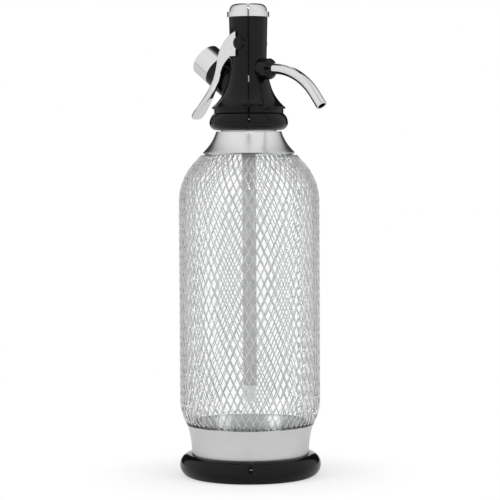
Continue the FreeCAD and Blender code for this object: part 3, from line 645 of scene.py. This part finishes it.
@dataclass
class Lever:
    """The cast and plated squeeze lever, its edges rounded as casting and polishing leave them."""

    arm: tuple[Station, ...] = (
        Station(-8.0, -12.9, 344.0, 5.2, 0.9),
        Station(-11.5, -13.0, 339.0, 5.4, 1.0),
        Station(-14.6, -13.9, 331.5, 4.9, 1.2),
        Station(-17.2, -15.4, 323.5, 3.5, 1.3),
        Station(-20.0, -16.0, 314.3, 3.4, 1.5),
        Station(-23.8, -15.3, 307.9, 3.6, 2.5),
        Station(-29.6, -12.6, 302.4, 3.4, 4.0),
        Station(-36.6, -9.0, 297.9, 3.1, 5.3),
        Station(-43.6, -5.4, 293.2, 2.9, 6.2),
        Station(-49.0, -2.6, 289.4, 2.7, 6.6),
        Station(-52.6, -0.8, 286.9, 2.4, 6.3),
        Station(-54.9, -0.2, 285.5, 1.9, 5.0),
        Station(-56.0, 0.0, 285.0, 1.0, 2.6),
    )
    sides: int = 10
    levels: int = 2
    weld: float = 0.001 * MM
    voxel: float = 0.36 * MM
    strength: float = 0.5
    passes: int = 9

    def sections(self) -> list[Matrix]:
        """Where each section of the arm stands, which way it faces and its size."""
        spots = [Vector((station.x, station.y, station.z)) * MM for station in self.arm]
        found = []
        for index, (spot, station) in enumerate(zip(spots, self.arm)):
            run = spots[min(index + 1, len(spots) - 1)] - spots[max(index - 1, 0)]
            run.normalize()
            across = run.cross(Vector((0, 1, 0))).normalized()
            side = across.cross(run).normalized()
            turn = Matrix((across, side, run)).transposed().to_4x4()
            size = Matrix.Diagonal((station.half_thickness * MM, station.half_width * MM, 1.0, 1.0))
            found.append(Matrix.Translation(spot) @ turn @ size)
        return found

    def limb(self) -> bpy.types.Mesh:
        """The arm, from the near ear down past the inlet to its rounded tip."""
        sections = self.sections()
        mesh = bmesh.new()
        bmesh.ops.create_circle(mesh, cap_ends=True, segments=self.sides, radius=1.0)
        bmesh.ops.transform(mesh, matrix=sections[0], verts=mesh.verts)
        mesh.faces.ensure_lookup_table()
        end = mesh.faces[0]
        for before, after in zip(sections, sections[1:]):
            grown = bmesh.ops.extrude_face_region(mesh, geom=[end])["geom"]
            end = next(item for item in grown if isinstance(item, bmesh.types.BMFace))
            bmesh.ops.transform(mesh, matrix=after @ before.inverted(), verts=end.verts)
        bmesh.ops.recalc_face_normals(mesh, faces=mesh.faces)
        return shaped(mesh, [("SUBSURF", {"levels": self.levels, "render_levels": self.levels})])

    def build(self) -> None:
        """Make the lever from its solid and its arm, with every edge softened."""
        mesh = bmesh.new()
        mesh.from_mesh(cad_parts["lever"].data)
        bmesh.ops.remove_doubles(mesh, verts=mesh.verts, dist=self.weld)
        mesh.from_mesh(self.limb())
        cast = shaped(mesh, [
            ("REMESH", {"mode": "VOXEL", "voxel_size": self.voxel}),
            ("SMOOTH", {"factor": self.strength, "iterations": self.passes}),
        ])
        mesh = bmesh.new()
        mesh.from_mesh(cast)
        piece = add_piece("squeeze_lever", mesh, "lever", Finish.chrome)
        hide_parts("lever")


@dataclass(frozen=True)
class Lamp:
    """A soft box: degrees round from the camera, place, size, watts and whether glossy things show it."""

    name: str
    offset: float
    distance: float
    height: float
    size: tuple[float, float]
    power: float
    mirrored: bool = False


@dataclass
class Studio:
    """Camera, pale floor, soft light and the panels that chrome and glass reflect."""

    azimuth: float = 40.0
    distance: float = 1.588
    eye: float = 0.255
    focal_pixels: float = 2000.0
    image_pixels: float = 500.0
    horizon_pixel: float = 155.0
    axis_pixel: float = 249.4
    roll: float = 0.3
    sensor: float = 36.0
    clip: float = 0.01
    ambient: float = 0.75
    floor_width: float = 160.0
    floor_colour: Triple = (0.75, 0.75, 0.75)
    floor_white: float = 0.6
    floor_near: float = 0.055
    floor_far: float = 0.14
    dome_radius: float = 2.6
    dome_segments: int = 128
    dome_rings: int = 48
    dome_edge: float = -0.001
    panels: tuple[tuple[float, float], ...] = (
        (0.0, 0.02), (2.6, 0.02), (4.0, 0.80), (20.0, 0.92), (60.0, 0.95), (90.0, 0.88),
        (116.0, 0.72), (136.0, 0.45), (146.0, 0.02), (169.0, 0.02), (171.5, 1.0),
    )
    lamps: tuple[Lamp, ...] = (
        Lamp("left_box", -55.0, 1.5, 0.9, (0.9, 1.2), 9.0),
        Lamp("right_box", 60.0, 1.5, 0.8, (0.9, 1.2), 6.0),
        Lamp("top_box", 10.0, 0.5, 1.7, (1.0, 1.0), 6.0),
        Lamp("glint", 1.0, 1.8, 1.25, (0.12, 0.24), 2.6, mirrored=True),
    )
    aim_height: float = 0.18

    def around(self, offset: float, distance: float, height: float) -> Vector:
        """A point round the siphon.

        Args:
            offset: Degrees round from the camera.
            distance: Distance from the axis.
            height: Height over the floor.

        Returns:
            The point.
        """
        angle = math.radians(self.azimuth + offset)
        return Vector((math.sin(angle) * distance, -math.cos(angle) * distance, height))

    def camera(self) -> None:
        """Set the camera where the photograph was taken from."""
        data = bpy.data.cameras.new("camera")
        data.sensor_width = self.sensor
        data.lens = self.sensor * self.focal_pixels / self.image_pixels
        data.clip_start = self.clip
        camera = bpy.data.objects.new("camera", data)
        bpy.context.scene.collection.objects.link(camera)
        half = self.image_pixels / 2
        pitch = math.atan((half - self.horizon_pixel) / self.focal_pixels)
        pan = math.atan((half - self.axis_pixel) / self.focal_pixels)
        camera.location = self.around(0.0, self.distance, self.eye)
        turn = Matrix.Rotation(math.radians(self.azimuth) - pan, 4, "Z")
        tilt = Matrix.Rotation(math.pi / 2 - pitch, 4, "X")
        lean = Matrix.Rotation(math.radians(-self.roll), 4, "Z")
        camera.rotation_euler = (turn @ tilt @ lean).to_euler()
        bpy.context.scene.camera = camera

    def world(self) -> None:
        """White where it is seen, a plain even light elsewhere."""
        world = bpy.data.worlds.new("studio")
        bpy.context.scene.world = world
        shader = Shader(world)
        seen = shader.rays("Is Camera Ray", "Is Glossy Ray", "Is Transmission Ray")
        strength = self.ambient + seen * (1.0 - self.ambient)
        back = shader.node("ShaderNodeBackground", None, {"Color": opaque(WHITE), "Strength": strength})
        shader.close(back, "ShaderNodeOutputWorld")

    def floor(self) -> None:
        """A wide pale floor that keeps the siphon's soft shadow close to its foot."""
        shader = Shader(bpy.data.materials.new("pale_floor"))
        seen = shader.rays("Is Camera Ray", "Is Transmission Ray")
        away = shader.node("ShaderNodeVectorMath", {"operation": "LENGTH"}, {0: shader.own_place()})
        grown = shader.node(
            "ShaderNodeMapRange", {"interpolation_type": "SMOOTHSTEP"},
            {"Value": away.outputs["Value"], "From Min": self.floor_near, "From Max": self.floor_far,
             "To Min": self.floor_white, "To Max": 1.0},
        )
        share = seen * Signal(shader, grown.outputs["Result"])
        matt = shader.node("ShaderNodeBsdfDiffuse", None, {"Color": opaque(self.floor_colour)})
        white = shader.node("ShaderNodeEmission", None, {"Color": opaque(WHITE), "Strength": 1.0})
        mix = shader.node(
            "ShaderNodeMixShader", None, {0: share, 1: matt.outputs[0], 2: white.outputs[0]})
        mesh = bmesh.new()
        bmesh.ops.create_grid(mesh, x_segments=1, y_segments=1, size=self.floor_width / 2)
        floor = new_object("floor", mesh)
        floor.data.materials.append(shader.close(mix))

    def surround(self) -> None:
        """A dome of panels, light before the siphon and darker behind it, that only reflections show."""
        shader = Shader(bpy.data.materials.new("surround_panels"))
        ahead = math.radians(90.0 - self.azimuth)
        turned = shader.node(
            "ShaderNodeMapping", None, {"Vector": shader.own_place(), "Rotation": (0.0, 0.0, ahead)})
        angle = shader.node(
            "ShaderNodeTexGradient", {"gradient_type": "RADIAL"}, {"Vector": turned.outputs[0]})
        apart = abs(Signal(shader, angle.outputs["Fac"]) - 0.5) * 2.0
        stops = [(degrees / 180.0, (level,) * 3) for degrees, level in self.panels]
        tone = shader.node("ShaderNodeValToRGB", {"stops": stops}, {"Fac": apart})
        glow = shader.node("ShaderNodeEmission", None, {"Color": tone.outputs[0], "Strength": 1.0})
        mesh = bmesh.new()
        bmesh.ops.create_uvsphere(
            mesh, u_segments=self.dome_segments, v_segments=self.dome_rings, radius=self.dome_radius)
        bmesh.ops.bisect_plane(
            mesh, geom=[*mesh.verts, *mesh.edges, *mesh.faces], plane_co=(0, 0, self.dome_edge),
            plane_no=(0, 0, 1), clear_inner=True)
        dome = new_object("surround", mesh)
        dome.data.materials.append(shader.close(glow))
        dome.visible_camera = False
        dome.visible_diffuse = False
        dome.visible_shadow = False
        dome.visible_transmission = False

    def light(self, lamp: Lamp) -> None:
        """Put up a soft box that faces the siphon.

        Args:
            lamp: What it is like.
        """
        data = bpy.data.lights.new(lamp.name, "AREA")
        data.shape = "RECTANGLE"
        data.size, data.size_y = lamp.size
        data.energy = lamp.power
        box = bpy.data.objects.new(lamp.name, data)
        box.location = self.around(lamp.offset, lamp.distance, lamp.height)
        aim = Vector((0, 0, self.aim_height)) - box.location
        box.rotation_euler = aim.to_track_quat("-Z", "Y").to_euler()
        box.visible_glossy = lamp.mirrored
        bpy.context.scene.collection.objects.link(box)

    def build(self) -> None:
        """Set up the whole studio."""
        bpy.context.scene.view_settings.view_transform = "Standard"
        self.camera()
        self.world()
        self.floor()
        self.surround()
        for lamp in self.lamps:
            self.light(lamp)


def main() -> None:
    """Build the studio and every piece, and note the sizes."""
    logging.basicConfig(level=logging.INFO, format="%(name)s: %(message)s")
    Studio().build()
    DRESSER.dress_carried()
    Jacket().build()
    Lever().build()


if __name__ == "__main__":
    main()
